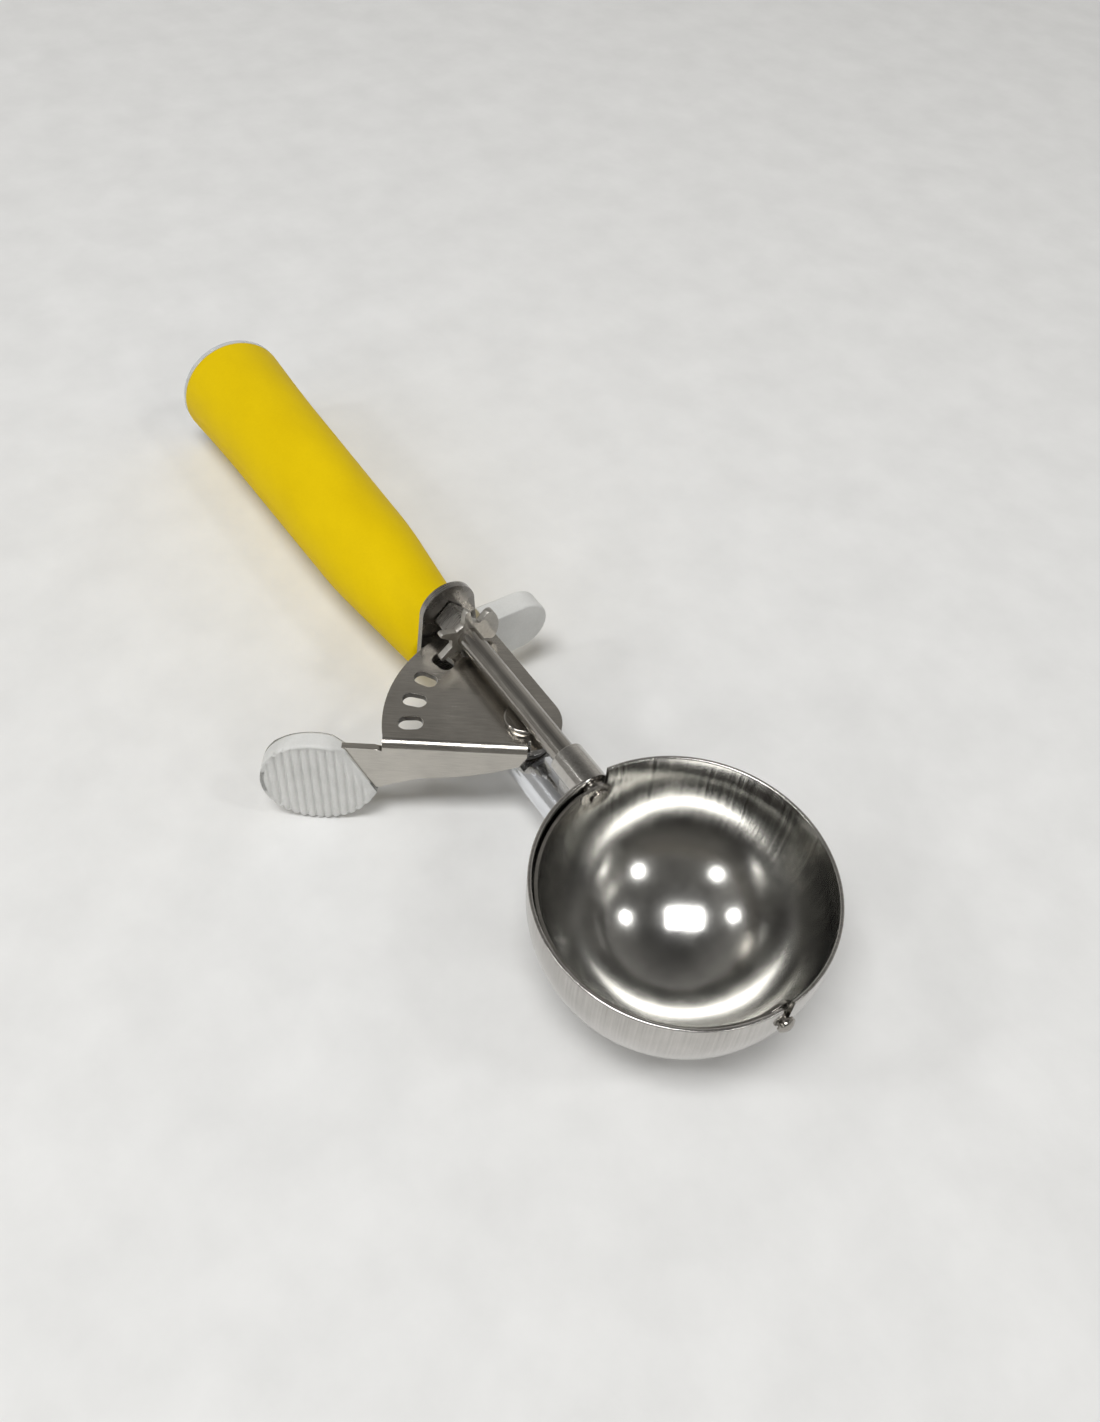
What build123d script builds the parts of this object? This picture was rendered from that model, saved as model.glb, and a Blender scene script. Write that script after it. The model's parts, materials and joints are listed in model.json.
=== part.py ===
from build123d import *

import math
import os

os.makedirs("parts", exist_ok=True)

# Fits and clearances, in millimetres
running_gap = 0.06
seat_gap = 0.05
free_gap = 0.3

# Bowl: a half sphere with a straight collar above it
bowl_radius = 28.5
bowl_wall = 0.8
bowl_collar = 5.3

# Scraper blade, its front pin and the spindle that turns it
blade_width = 6.3
blade_thickness = 0.7
pin_radius = 1.2
pin_head_radius = 1.75
pin_head_height = 1.5
spindle_radius = 2.5
tenon_radius = 1.5
tenon_head_height = 0.45
tenon_head_radius = 2.0
journal_radius = 1.4
square_side = 2.8

# Steel sheet of the lever and of the frame
sheet = 1.5
bend_radius = 0.7

# Thumb lever: slotted sector plate, bent-down arm and round paddle
pivot_setback = 52.5
pivot_radius = 2.5
slot_radius = 23.3
slot_length = 5.2
slot_width = 3.4
slot_pitch_deg = 15.0
slot_count = 5
plate_margin = 3.3
plate_side = 8.0
arm_angle_deg = 55.2
bend_offset = 5.9
bend_start = -1.0
bend_relief = 0.6
arm_lean_deg = 3.3
arm_rise = 0.5
arm_end_slant = 1.6
arm_depth_near = 3.0
arm_depth_mid = 8.1
arm_depth_far = 12.2
arm_mid_at = 21.0
arm_belly = 1.0
paddle_reach = 42.4
paddle_radius = 10.25
paddle_foot_deg = 55.0

# Thumb pad and finger rest, dipped in soft vinyl
pad_skin = 1.45
pad_round = 1.0
pad_mouth_setback = 10.9
pad_mouth_slant_deg = 25.0
pad_corner_back = 11.6
pad_corner_low = 3.0
pad_corner_round = 0.8
cover_skin = 2.0

# Star pinion
tooth_count = 6
tooth_reach = 7.6
tooth_tip_radius = 0.6
tooth_root_half = 1.15
hub_radius = 4.0
working_teeth = 4
lobe_radius = 7.7
lobe_spread_deg = 78.0
lobe_turn_deg = 6.0
collar_side = 5.6
collar_round = 0.7
mesh_lift = 0.3
mesh_set_in = 0.4

# Pivot stack between lever and frame
drum_height = 4.9
washer_thickness = 0.6
washer_radius = 5.8
bush_radius = 4.4
rivet_head_radius = 4.2
rivet_head_height = 1.6
rivet_head_round = 0.4

# Return spring
wire_radius = 0.45
coil_radius = 5.75
coil_pitch = 1.4
coil_full_turns = 2
stop_height = 2.7

# Frame plate with its ear and finger wing
frame_half_width = 7.4
base_half_width = 6.0
ear_radius = 6.4
ear_rise = 1.4
ear_clearance = 0.9
wing_reach = 23.0
wing_height = 9.4
wing_drop = 12.8

# Shank and front bearing
shank_radius = 4.8
shank_flat_half = 3.7
tang_radius = 4.0
tang_length = 80.0
bearing_length = 9.0
bearing_radius = 3.7
bearing_web = 2.6

# Handle, measured along its own axis
handle_length = 111.5
handle_front_radius = 8.2
handle_shoulder_radius = 11.7
handle_waist_radius = 12.9
handle_butt_radius = 13.9
handle_shoulder_at = 34.0
handle_butt_run = 19.5
handle_front_rise = 2.1
handle_round = 1.2
cap_flange = 1.5
cap_plug_radius = 8.0
cap_plug_depth = 7.0

# Heights and stations worked out from the sizes above
axis_z = bowl_radius
rim_z = axis_z + bowl_collar
inner_radius = bowl_radius - bowl_wall
tooth_pitch_deg = 360.0 / tooth_count
pitch_radius = slot_radius * slot_pitch_deg / tooth_pitch_deg
plate_top = axis_z - pitch_radius + mesh_lift + sheet / 2
plate_bottom = plate_top - sheet
base_top = plate_bottom - drum_height
base_bottom = base_top - sheet
shank_z = base_bottom - math.sqrt(shank_radius**2 - shank_flat_half**2)
pivot_x = -pivot_setback
plate_radius = slot_radius + slot_length / 2 + plate_margin
pinion_x = pivot_x - slot_radius + mesh_set_in
ear_front = pivot_x - plate_radius - ear_clearance
ear_back = ear_front - sheet
bearing_back = -bowl_radius - bearing_length
blade_radius = math.sqrt((inner_radius - free_gap) ** 2 - (blade_width / 2) ** 2)
eye_face = blade_radius - free_gap
eye_inner = eye_face - blade_thickness

# Planes that the pieces are drawn on
arm_angle = math.radians(arm_angle_deg)
arm_dir = Vector(-math.cos(arm_angle), -math.sin(arm_angle), 0)
out_dir = Vector(math.sin(arm_angle), -math.cos(arm_angle), 0)
pivot_point = Vector(pivot_x, 0, 0)
lever_plane = Plane(pivot_point + Vector(0, 0, plate_bottom), x_dir=arm_dir, z_dir=(0, 0, 1))
flange_inner = bend_offset + bend_radius
flange_outer = flange_inner + sheet
arm_lean = math.radians(arm_lean_deg)
arm_normal = out_dir * math.cos(arm_lean) + Vector(0, 0, math.sin(arm_lean))
bend_line = pivot_point + out_dir * bend_offset + Vector(0, 0, plate_bottom - bend_radius)


def station(x):
    """Plane square to the spindle at x, drawn in Y and Z."""
    return Plane((x, 0, 0), x_dir=(0, 1, 0), z_dir=(1, 0, 0))


def arm_plane(out):
    """Plane of the leaning arm, `out` from the pivot, drawn in arm length and height over the end of the bend."""
    return Plane(bend_line + arm_normal * (out - bend_offset), x_dir=arm_dir, z_dir=-arm_normal)


def dome(edge, rise):
    """Halfway point of a domed head: its radius, and its height over the edge."""
    ball = (edge**2 + rise**2) / (2 * rise)
    half = math.asin(edge / ball) / 2
    return ball * math.sin(half), ball * math.cos(half) - ball + rise


# Bowl
rim_round = bowl_wall / 2
with BuildPart() as bowl:
    with BuildSketch(Plane.XZ):
        with BuildLine():
            outside = CenterArc((0, axis_z), bowl_radius, 270, 90)
            Line(outside @ 1, (bowl_radius, rim_z - rim_round))
            ThreePointArc(
                (bowl_radius, rim_z - rim_round),
                (bowl_radius - rim_round, rim_z),
                (inner_radius, rim_z - rim_round),
            )
            inside = CenterArc((0, axis_z), inner_radius, 270, 90)
            Line((inner_radius, rim_z - rim_round), inside @ 1)
            Line(inside @ 0, outside @ 0)
        make_face()
    revolve(axis=Axis.Z)
    # U-shaped notch at the back for the spindle
    notch_radius = spindle_radius + free_gap
    with BuildSketch(station(-bowl_radius - 1)):
        with Locations((0, axis_z)):
            Circle(notch_radius)
        with Locations((0, axis_z + bowl_collar)):
            Rectangle(2 * notch_radius, 2 * bowl_collar)
    extrude(amount=bowl_radius / 2, mode=Mode.SUBTRACT)
    # Smaller notch at the front, where the pin runs
    with BuildSketch(station(bowl_radius / 2)):
        with Locations((0, axis_z)):
            Circle(pin_radius + running_gap)
        with Locations((0, axis_z + bowl_collar)):
            Rectangle(2 * (pin_radius + running_gap), 2 * bowl_collar)
    extrude(amount=bowl_radius, mode=Mode.SUBTRACT)

# Scraper blade: a half hoop that lies level along the near side at rest
eye_radius = blade_width / 2
with BuildPart() as scraper_blade:
    with BuildSketch(Plane.XY.offset(axis_z - blade_width / 2)):
        Circle(blade_radius)
        Circle(blade_radius - blade_thickness, mode=Mode.SUBTRACT)
        with Locations((0, -blade_radius)):
            Rectangle(2 * eye_face, 2 * blade_radius, mode=Mode.INTERSECT)
    extrude(amount=blade_width)
    for side in (-1, 1):
        with BuildSketch(station(side * eye_inner)):
            with Locations((0, axis_z)):
                Circle(eye_radius)
            with Locations((-eye_radius, axis_z)):
                Rectangle(2 * eye_radius, blade_width)
        extrude(amount=side * blade_thickness)
    # The straight tongues of the eyes end at the inside of the hoop
    with BuildSketch(Plane.XY.offset(axis_z - blade_width / 2)):
        Rectangle(3 * bowl_radius, 3 * bowl_radius)
        Circle(blade_radius, mode=Mode.SUBTRACT)
    extrude(amount=blade_width, mode=Mode.SUBTRACT)
    with BuildSketch(station(-bowl_radius)):
        with Locations((0, axis_z)):
            Circle(tenon_radius + seat_gap)
    extrude(amount=bowl_radius / 2, mode=Mode.SUBTRACT)
    with BuildSketch(station(bowl_radius / 2)):
        with Locations((0, axis_z)):
            Circle(pin_radius + seat_gap)
    extrude(amount=bowl_radius / 2, mode=Mode.SUBTRACT)

# Front pin: shaft through blade and rim, domed head outside, flat head inside
pin_head_back = bowl_radius + free_gap
pin_head_edge = pin_head_back + pin_head_height / 2
pin_dome = dome(pin_head_radius, pin_head_height / 2)
with BuildPart() as front_pin:
    with BuildSketch(Plane.XZ):
        with BuildLine():
            Polyline(
                (eye_inner - tenon_head_height, axis_z),
                (eye_inner - tenon_head_height, axis_z + pin_head_radius),
                (eye_inner, axis_z + pin_head_radius),
                (eye_inner, axis_z + pin_radius),
                (pin_head_back, axis_z + pin_radius),
                (pin_head_back, axis_z + pin_head_radius),
                (pin_head_edge, axis_z + pin_head_radius),
            )
            ThreePointArc(
                (pin_head_edge, axis_z + pin_head_radius),
                (pin_head_edge + pin_dome[1], axis_z + pin_dome[0]),
                (pin_head_back + pin_head_height, axis_z),
            )
            Line((pin_head_back + pin_head_height, axis_z), (eye_inner - tenon_head_height, axis_z))
        make_face()
    revolve(axis=Axis((0, 0, axis_z), (1, 0, 0)))

# Spindle: peened front end, round rod, squared seat for the pinion and rear journal
square_front = pinion_x + sheet / 2
square_back = ear_front + free_gap
with BuildPart() as spindle:
    with BuildSketch(station(square_front)):
        with Locations((0, axis_z)):
            Circle(spindle_radius)
    extrude(amount=-eye_face - square_front)
    with BuildSketch(station(-eye_face)):
        with Locations((0, axis_z)):
            Circle(tenon_radius)
    extrude(amount=blade_thickness)
    with BuildSketch(station(-eye_inner)):
        with Locations((0, axis_z)):
            Circle(tenon_head_radius)
    extrude(amount=tenon_head_height)
    with BuildSketch(station(square_back)):
        with Locations((0, axis_z)):
            Rectangle(square_side, square_side)
    extrude(amount=square_front - square_back)
    with BuildSketch(station(ear_back - sheet / 2)):
        with Locations((0, axis_z)):
            Circle(journal_radius)
    extrude(amount=square_back - ear_back + sheet / 2)

# Star pinion: one tooth points straight down at rest, and a plain lobe fills the idle side
tip_centre = tooth_reach - tooth_tip_radius
with BuildSketch() as tooth:
    with BuildLine():
        flank = Polyline(
            (-tooth_root_half, 0),
            (-tooth_root_half, -hub_radius),
            (-tooth_tip_radius, -tip_centre),
        )
        mirror(flank, about=Plane.YZ)
        ThreePointArc(
            (-tooth_tip_radius, -tip_centre),
            (0, -tooth_reach),
            (tooth_tip_radius, -tip_centre),
        )
        Line((-tooth_root_half, 0), (tooth_root_half, 0))
    make_face()
with BuildSketch() as lobe:
    with BuildLine():
        lobe_arc = CenterArc((0, 0), lobe_radius, -lobe_spread_deg / 2, lobe_spread_deg)
        Polyline(lobe_arc @ 1, (0, 0), lobe_arc @ 0)
    make_face()
    fillet(lobe.vertices().sort_by(Axis.X)[-2:], 2 * tooth_tip_radius)
with BuildPart() as pinion:
    with BuildSketch(station(pinion_x - sheet / 2)):
        with Locations((0, axis_z)):
            Circle(hub_radius)
            with PolarLocations(0, working_teeth, 0, -tooth_pitch_deg * working_teeth):
                add(tooth.sketch)
            add(lobe.sketch, rotation=lobe_turn_deg)
            Rectangle(square_side + 2 * seat_gap, square_side + 2 * seat_gap, mode=Mode.SUBTRACT)
    extrude(amount=sheet)

# Collar that holds the pinion off the ear, a square block standing on its corner
with BuildPart() as pinion_collar:
    with BuildSketch(station(square_back)):
        with Locations((0, axis_z)):
            RectangleRounded(collar_side, collar_side, collar_round, rotation=45)
            Rectangle(square_side + 2 * seat_gap, square_side + 2 * seat_gap, mode=Mode.SUBTRACT)
    extrude(amount=pinion_x - sheet / 2 - seat_gap - square_back)

# Shank: bar from the bowl to the frame, flat on top under the frame plate, with a tang behind
flat_front = pivot_x + base_half_width + free_gap
with BuildPart() as shank:
    with BuildSketch(station(ear_back)):
        with Locations((0, shank_z)):
            Circle(shank_radius)
    extrude(amount=-ear_back - bowl_radius / 2)
    with BuildSketch(Plane.XY.offset(base_bottom)):
        with Locations(((flat_front + 2 * ear_back) / 2, 0)):
            Rectangle(flat_front - 2 * ear_back, 4 * shank_radius)
    extrude(amount=shank_radius, mode=Mode.SUBTRACT)
    with BuildSketch(station(ear_back - tang_length)):
        with Locations((0, shank_z)):
            Circle(tang_radius)
    extrude(amount=tang_length)
    # Saddle that takes the back of the bowl
    with Locations((0, 0, axis_z)):
        Sphere(bowl_radius + seat_gap, mode=Mode.SUBTRACT)
    # Blind hole for the pivot rivet
    with BuildSketch(Plane.XY.offset(shank_z - shank_radius / 2)):
        with Locations((pivot_x, 0)):
            Circle(pivot_radius + seat_gap)
    extrude(amount=2 * shank_radius, mode=Mode.SUBTRACT)

# Front bearing: sleeve on a narrow web, standing on the shank behind the bowl
with BuildPart() as front_bearing:
    with BuildSketch(station(bearing_back)):
        with Locations((0, axis_z)):
            Circle(bearing_radius)
        with Locations((0, (axis_z + shank_z) / 2)):
            Rectangle(bearing_web, axis_z - shank_z)
    extrude(amount=bearing_length)
    with BuildSketch(station(bearing_back)):
        with Locations((0, shank_z)):
            Circle(shank_radius + seat_gap)
        with Locations((0, axis_z)):
            Circle(spindle_radius + running_gap)
    extrude(amount=bearing_length, mode=Mode.SUBTRACT)
    with Locations((0, 0, axis_z)):
        Sphere(bowl_radius + seat_gap, mode=Mode.SUBTRACT)
        Cylinder(
            bowl_radius + seat_gap,
            2 * bowl_collar,
            align=(Align.CENTER, Align.CENTER, Align.MIN),
            mode=Mode.SUBTRACT,
        )

# Frame plate: base strip, ear bent up behind the pinion and a wing for the finger
wing_top = axis_z - wing_drop + wing_height / 2
with BuildPart() as frame_plate:
    with BuildSketch(Plane.XY.offset(base_bottom)):
        with Locations((pivot_x, 0)):
            Circle(base_half_width)
        with Locations(((pivot_x + ear_front + bend_radius) / 2, 0)):
            Rectangle(pivot_x - ear_front - bend_radius, 2 * base_half_width)
        with Locations((pivot_x, 0)):
            Circle(pivot_radius + seat_gap, mode=Mode.SUBTRACT)
    extrude(amount=sheet)
    # Bend from base to ear
    bend_centre = (ear_front + bend_radius, base_top + bend_radius)
    with BuildSketch(Plane.XZ.offset(-frame_half_width)):
        with Locations(bend_centre):
            Circle(bend_radius + sheet)
            Circle(bend_radius, mode=Mode.SUBTRACT)
            Rectangle(
                4 * sheet + 4 * bend_radius,
                4 * sheet + 4 * bend_radius,
                align=(Align.MIN, Align.CENTER),
                mode=Mode.SUBTRACT,
            )
            Rectangle(
                4 * sheet + 4 * bend_radius,
                4 * sheet + 4 * bend_radius,
                align=(Align.CENTER, Align.MIN),
                mode=Mode.SUBTRACT,
            )
    extrude(amount=2 * frame_half_width)
    # Ear with its round top, and the wing
    with BuildSketch(station(ear_back)):
        ear_foot = base_top + bend_radius
        ear_top = axis_z + ear_rise
        with BuildLine():
            Polyline(
                (-frame_half_width, ear_foot),
                (frame_half_width, ear_foot),
                (ear_radius, ear_top),
                (-ear_radius, ear_top),
                (-frame_half_width, ear_foot),
            )
        make_face()
        with Locations((0, ear_top)):
            Circle(ear_radius)
        with Locations((wing_reach / 2 - wing_height / 4, wing_top - wing_height / 2)):
            Rectangle(wing_reach - wing_height / 2, wing_height)
        with Locations((wing_reach - wing_height / 2, wing_top - wing_height / 2)):
            Circle(wing_height / 2)
        # Room for the bend and the shank below it
        with Locations((0, ear_foot)):
            Rectangle(
                2 * frame_half_width,
                4 * wing_height,
                align=(Align.CENTER, Align.MAX),
                mode=Mode.SUBTRACT,
            )
        with Locations((0, axis_z)):
            Circle(journal_radius + running_gap, mode=Mode.SUBTRACT)
    extrude(amount=sheet)
    # Stop that the lower leg of the return spring leans on
    stop_inner = base_half_width - sheet
    with BuildSketch(Plane.XY.offset(base_top)):
        with Locations((pivot_x - coil_radius + wire_radius, stop_inner)):
            Rectangle(2 * sheet, sheet, align=(Align.MAX, Align.MIN))
    extrude(amount=stop_height)

# Soft cover on the wing
cover_start = frame_half_width + sheet
with BuildPart() as finger_rest_cover:
    cover_height = wing_height + 2 * cover_skin
    cover_end = wing_reach + cover_skin
    with BuildSketch(station(ear_back - cover_skin)):
        with Locations((cover_end - cover_height / 2, wing_top - wing_height / 2)):
            Circle(cover_height / 2)
        with Locations(((cover_start + cover_end - cover_height / 2) / 2, wing_top - wing_height / 2)):
            Rectangle(cover_end - cover_height / 2 - cover_start, cover_height)
    extrude(amount=sheet + 2 * cover_skin)
    rounded = faces().sort_by(Axis.X)[-1].edges() + faces().sort_by(Axis.X)[0].edges()
    fillet(rounded.filter_by(lambda e: e.center().Y > cover_start + seat_gap), pad_round)
    with BuildSketch(station(ear_back - seat_gap)):
        with Locations((wing_reach - wing_height / 2, wing_top - wing_height / 2)):
            Circle(wing_height / 2 + seat_gap)
        with Locations(((wing_reach - wing_height / 2) / 2, wing_top - wing_height / 2)):
            Rectangle(wing_reach - wing_height / 2, wing_height + 2 * seat_gap)
    extrude(amount=sheet + 2 * seat_gap, mode=Mode.SUBTRACT)

# Thumb lever
bend_end = math.sqrt(plate_radius**2 - bend_offset**2)
rear_along = math.sqrt(plate_radius**2 - plate_side**2)
side_foot = Vector(-math.sin(arm_angle), -math.cos(arm_angle)) * plate_side
side_rear = side_foot + Vector(math.cos(arm_angle), -math.sin(arm_angle)) * rear_along
nose_start = bend_start - bend_relief
nose_at = math.sqrt(plate_side**2 - nose_start**2)
paddle_up = arm_rise - paddle_radius
paddle_foot = math.radians(paddle_foot_deg)


def arm_outline(grow=0.0):
    """Side view of the bent-down arm, from the end of the bend to the paddle."""
    radius = paddle_radius + grow
    low_near = (bend_start + arm_end_slant, -arm_depth_near - grow)
    low_mid = (arm_mid_at, -arm_depth_mid - grow)
    belly = ((low_near[0] + low_mid[0]) / 2, (low_near[1] + low_mid[1]) / 2 - arm_belly)
    paddle_low = (
        paddle_reach - radius * math.cos(paddle_foot),
        paddle_up - radius * math.sin(paddle_foot),
    )
    low_far = (paddle_low[0] - paddle_radius / 2, -arm_depth_far - grow)
    paddle_top = (paddle_reach, paddle_up + radius)
    with BuildSketch(mode=Mode.PRIVATE) as outline:
        with BuildLine():
            Polyline((bend_start, 0), (bend_end, 0), (bend_end + sheet, paddle_top[1]), paddle_top)
            ThreePointArc(paddle_top, (paddle_reach + radius, paddle_up), paddle_low)
            Polyline(paddle_low, low_far, low_mid)
            ThreePointArc(low_mid, belly, low_near)
            Line(low_near, (bend_start, 0))
        make_face()
    return outline.sketch


with BuildPart() as thumb_lever:
    with BuildSketch(lever_plane):
        with BuildLine():
            Line(side_foot, side_rear)
            RadiusArc(side_rear, (bend_end, bend_offset), -plate_radius)
            Polyline(
                (bend_end, bend_offset),
                (bend_start, bend_offset),
                (bend_start, bend_offset - bend_relief),
                (nose_start, bend_offset - bend_relief),
                (nose_start, nose_at),
            )
            ThreePointArc((nose_start, nose_at), (-plate_side, 0), side_foot)
        make_face()
        # Radial slots, the first under the pinion at rest
        for k in range(slot_count):
            turn = k * slot_pitch_deg - arm_angle_deg
            with Locations(Location((0, 0), turn)):
                with Locations((slot_radius, 0)):
                    SlotOverall(slot_length, slot_width, mode=Mode.SUBTRACT)
        Circle(pivot_radius + running_gap, mode=Mode.SUBTRACT)
    extrude(amount=sheet)
    # Rounded bend, then the arm
    with BuildSketch(Plane(lever_plane.from_local_coords(Vector(bend_start, 0, 0)), x_dir=out_dir, z_dir=arm_dir)):
        with Locations((bend_offset, -bend_radius)):
            Circle(bend_radius + sheet)
            Circle(bend_radius, mode=Mode.SUBTRACT)
            with Locations(Location((0, 0), arm_lean_deg)):
                with Locations((0, -2 * bend_radius - 2 * sheet)):
                    Rectangle(8 * sheet, 4 * bend_radius + 4 * sheet, mode=Mode.SUBTRACT)
            with Locations((-2 * bend_radius - 2 * sheet, 0)):
                Rectangle(4 * bend_radius + 4 * sheet, 8 * sheet, mode=Mode.SUBTRACT)
    extrude(amount=bend_end - bend_start)
    with BuildSketch(arm_plane(flange_outer)):
        add(arm_outline())
    extrude(amount=sheet)

# Thumb pad: round vinyl cap over the paddle, drawn out to a corner where its slanting mouth meets the arm
pad_radius = paddle_radius + pad_skin
with BuildPart() as thumb_pad:
    with BuildSketch(arm_plane(flange_outer + pad_skin)) as pad_outline:
        with Locations((paddle_reach, paddle_up)):
            Circle(pad_radius)
            with Locations((-pad_corner_back, -pad_corner_low)):
                Circle(pad_corner_round)
        make_hull()
        with Locations(Location((paddle_reach - pad_mouth_setback, paddle_up), -pad_mouth_slant_deg)):
            Rectangle(pad_radius, 4 * pad_radius, align=(Align.MAX, Align.CENTER), mode=Mode.SUBTRACT)
    extrude(amount=sheet + 2 * pad_skin)
    across = faces().sort_by(Axis(bend_line, arm_normal))
    fillet(across[0].edges() + across[-1].edges(), pad_round)
    with BuildSketch(arm_plane(flange_outer + seat_gap)):
        add(arm_outline(seat_gap))
    extrude(amount=sheet + 2 * seat_gap, mode=Mode.SUBTRACT)

# Pivot rivet: flat head over the lever, shaft through the stack into the shank
with BuildPart() as pivot_rivet:
    head_bottom = plate_top + running_gap
    shaft_end = shank_z - shank_radius / 2 + seat_gap
    with BuildSketch(Plane.XY.offset(shaft_end)):
        with Locations((pivot_x, 0)):
            Circle(pivot_radius)
    extrude(amount=head_bottom - shaft_end)
    with BuildSketch(Plane.XY.offset(head_bottom)):
        with Locations((pivot_x, 0)):
            Circle(rivet_head_radius)
    extrude(amount=rivet_head_height)
    fillet(edges().sort_by(Axis.Z)[-1], rivet_head_round)

# Washer under the lever and bush that carries it
washer_bottom = plate_bottom - running_gap - washer_thickness
with BuildPart() as pivot_washer:
    with BuildSketch(Plane.XY.offset(washer_bottom)):
        with Locations((pivot_x, 0)):
            Circle(washer_radius)
            Circle(pivot_radius + seat_gap, mode=Mode.SUBTRACT)
    extrude(amount=washer_thickness)

with BuildPart() as pivot_bush:
    with BuildSketch(Plane.XY.offset(base_top)):
        with Locations((pivot_x, 0)):
            Circle(bush_radius)
            Circle(pivot_radius + seat_gap, mode=Mode.SUBTRACT)
    extrude(amount=washer_bottom - base_top)


# Return spring: one wire wound round the bush, from the frame's stop to the lever's arm
def helix_point(turned):
    """Point and heading on the coil after `turned` degrees from its lower leg."""
    angle = math.radians(180 + turned)
    height = coil_low + coil_pitch * turned / 360
    point = Vector(pivot_x + coil_radius * math.cos(angle), coil_radius * math.sin(angle), height)
    climb = coil_pitch / (2 * math.pi * coil_radius)
    level = turned == 0 or turned == coil_turn
    heading = Vector(-math.sin(angle), math.cos(angle), 0 if level else climb)
    return point, heading.normalized()


def biarc(start, start_dir, end, end_dir):
    """Two arcs that leave start and reach end along the given headings."""
    span = end - start
    total = start_dir + end_dir
    spread = 1 - start_dir.dot(end_dir)
    along = span.dot(total)
    reach = (-along + math.sqrt(along**2 + 2 * spread * span.dot(span))) / (2 * spread)
    knee_a = start + start_dir * reach
    knee_b = end - end_dir * reach
    middle = (knee_a + knee_b) * 0.5
    TangentArc(start, middle, tangent=start_dir)
    TangentArc(middle, end, tangent=knee_b - knee_a)


coil_low = base_top + wire_radius + 2 * running_gap
coil_turn = 360 * coil_full_turns + arm_angle_deg
quarter_count = round(coil_turn / 90)
knots = [helix_point(coil_turn * k / quarter_count) for k in range(quarter_count + 1)]
low_end = knots[0][0] - knots[0][1] * (stop_inner - seat_gap)
high_end = knots[-1][0] + knots[-1][1] * (flange_inner - seat_gap)
with BuildPart() as return_spring:
    with BuildLine() as wire_path:
        Line(low_end, knots[0][0])
        for (a, heading_a), (b, heading_b) in zip(knots, knots[1:]):
            biarc(a, heading_a, b, heading_b)
        Line(knots[-1][0], high_end)
    with BuildSketch(Plane(low_end, z_dir=knots[0][1])):
        Circle(wire_radius)
    sweep()

samples = [edge @ (k / 8) for edge in wire_path.edges() for k in range(8)]
apart = 4 * wire_radius
least = min(
    (a - b).length
    for i, a in enumerate(samples)
    for b in samples[i + 1 :]
    if abs(a.Z - b.Z) > apart / 4 or (a - b).length > apart
)
print(f"return spring: least gap to itself {least - 2 * wire_radius:.2f} mm")

# Handle on its own axis, a little higher at the front than at the butt
tilt = math.asin(handle_front_rise / handle_length)
handle_front = ear_back - seat_gap - handle_front_radius * math.sin(tilt)
butt_z = handle_butt_radius
handle_axis = Vector(math.cos(tilt), 0, math.sin(tilt))
butt_point = Vector(handle_front - handle_length * math.cos(tilt), 0, butt_z)
handle_plane = Plane(butt_point, x_dir=handle_axis, z_dir=(0, -1, 0))
bore_end = ear_back - tang_length - 2 * free_gap
with BuildPart() as handle_grip:
    with BuildSketch(handle_plane):
        with BuildLine():
            Polyline(
                (0, 0),
                (0, handle_butt_radius),
                (handle_butt_run, handle_waist_radius),
                (handle_length - handle_shoulder_at, handle_shoulder_radius),
                (handle_length, handle_front_radius),
                (handle_length, 0),
                (0, 0),
            )
        make_face()
    revolve(axis=Axis(butt_point, handle_axis))
    rings = edges().filter_by(GeomType.CIRCLE).sort_by(Axis.X)
    fillet(rings[-1], handle_round)
    fillet(rings[0], handle_round / 2)
    with BuildSketch(station(bore_end)):
        with Locations((0, shank_z)):
            Circle(tang_radius + seat_gap)
    extrude(amount=2 * tang_length, mode=Mode.SUBTRACT)
    with BuildSketch(Plane(butt_point, z_dir=handle_axis)):
        Circle(cap_plug_radius + seat_gap)
    extrude(amount=cap_plug_depth + seat_gap, mode=Mode.SUBTRACT)

# End cap: translucent plug with a flange over the butt
with BuildPart() as handle_end_cap:
    with BuildSketch(Plane(butt_point, z_dir=handle_axis)):
        Circle(handle_butt_radius - 2 * seat_gap)
    extrude(amount=-cap_flange)
    fillet(edges().sort_by(Axis.X)[0], cap_flange / 2)
    with BuildSketch(Plane(butt_point, z_dir=handle_axis)):
        Circle(cap_plug_radius)
    extrude(amount=cap_plug_depth)

# Set every piece down with the middle of the whole scoop's footprint at the origin
pieces = {
    "bowl": bowl,
    "scraper_blade": scraper_blade,
    "front_pin": front_pin,
    "spindle": spindle,
    "pinion": pinion,
    "pinion_collar": pinion_collar,
    "shank": shank,
    "front_bearing": front_bearing,
    "frame_plate": frame_plate,
    "finger_rest_cover": finger_rest_cover,
    "thumb_lever": thumb_lever,
    "thumb_pad": thumb_pad,
    "pivot_rivet": pivot_rivet,
    "pivot_washer": pivot_washer,
    "pivot_bush": pivot_bush,
    "return_spring": return_spring,
    "handle_grip": handle_grip,
    "handle_end_cap": handle_end_cap,
}
boxes = [piece.part.bounding_box() for piece in pieces.values()]
low = [min(getattr(box.min, axis) for box in boxes) for axis in "XYZ"]
high = [max(getattr(box.max, axis) for box in boxes) for axis in "XYZ"]
shift = Vector(-(low[0] + high[0]) / 2, -(low[1] + high[1]) / 2, -low[2])
for name, piece in pieces.items():
    placed = piece.part.moved(Location(shift))
    placed.label = name
    export_step(placed, f"parts/{name}.step")

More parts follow.
